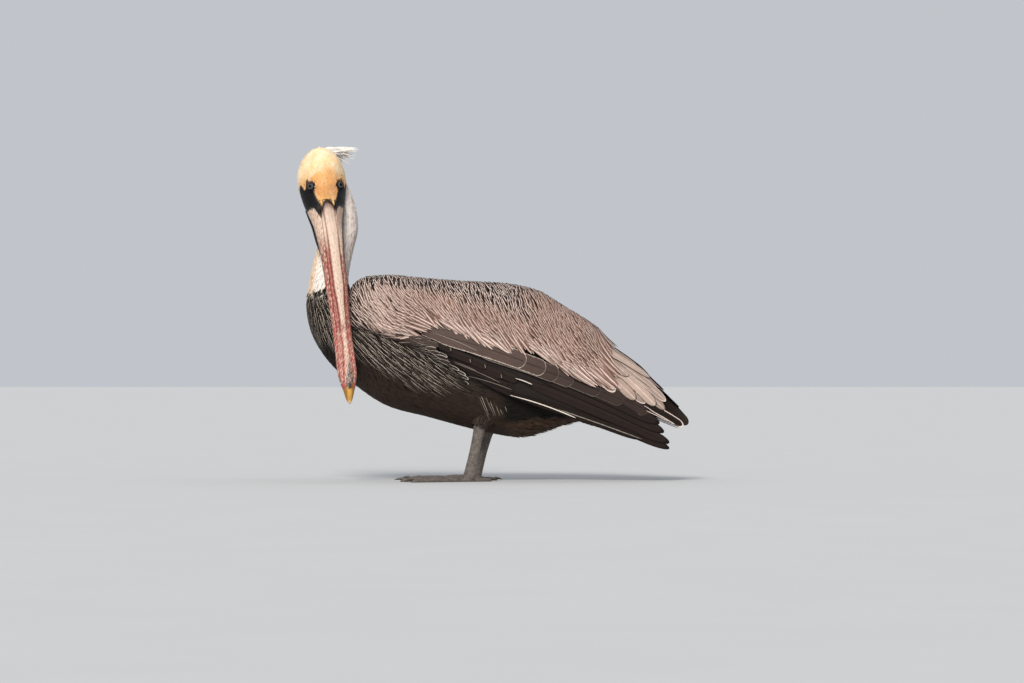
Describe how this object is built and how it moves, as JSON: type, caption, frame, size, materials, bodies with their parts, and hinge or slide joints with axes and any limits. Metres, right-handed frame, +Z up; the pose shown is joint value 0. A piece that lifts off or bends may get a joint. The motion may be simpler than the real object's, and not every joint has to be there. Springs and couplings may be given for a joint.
{
  "type": "brown pelican",
  "caption": "Adult brown pelican standing at rest on webbed feet, wings folded, head turned over its left side with the long hooked bill hanging down",
  "frame": {"origin": "middle of the bird's bounding box, on the floor under its feet", "axes": "+Z up, the breast towards -X and the tail towards +X, the bird's left side towards -Y, the way the face looks"},
  "size_m": [0.584, 0.2542, 0.5009],
  "materials": {
    "head_feathers": "matte",
    "neck_feathers": "matte",
    "body_feathers": "matte",
    "silver_feathers": "matte",
    "flight_feathers": "matte",
    "bill": "satin",
    "bill_nail": "satin",
    "pouch_skin": "matte",
    "leg_skin": "satin",
    "claw": "satin",
    "eye": "gloss"
  },
  "bodies": {
    "root": {"claw_left_inner": "claw", "claw_left_middle": "claw", "claw_left_outer": "claw", "claw_left_hind": "claw", "foot_left": "leg_skin", "leg_left": "leg_skin", "thigh_left": "body_feathers", "claw_right_inner": "claw", "claw_right_middle": "claw", "claw_right_outer": "claw", "claw_right_hind": "claw", "foot_right": "leg_skin", "leg_right": "leg_skin", "thigh_right": "body_feathers", "eye_left": "eye", "eye_right": "eye", "crest": "neck_feathers", "head": "head_feathers", "bill_nail": "bill_nail", "bill_upper": "bill", "bill_lower": "bill", "pouch": "pouch_skin", "tail": "silver_feathers", "trunk": "body_feathers", "neck_lower": "neck_feathers", "neck_upper": "neck_feathers", "wing_left_coverts": "silver_feathers", "wing_left_secondaries": "flight_feathers", "wing_left_primaries": "flight_feathers", "wing_right_coverts": "silver_feathers", "wing_right_secondaries": "flight_feathers", "wing_right_primaries": "flight_feathers"}
  },
  "joints": []
}
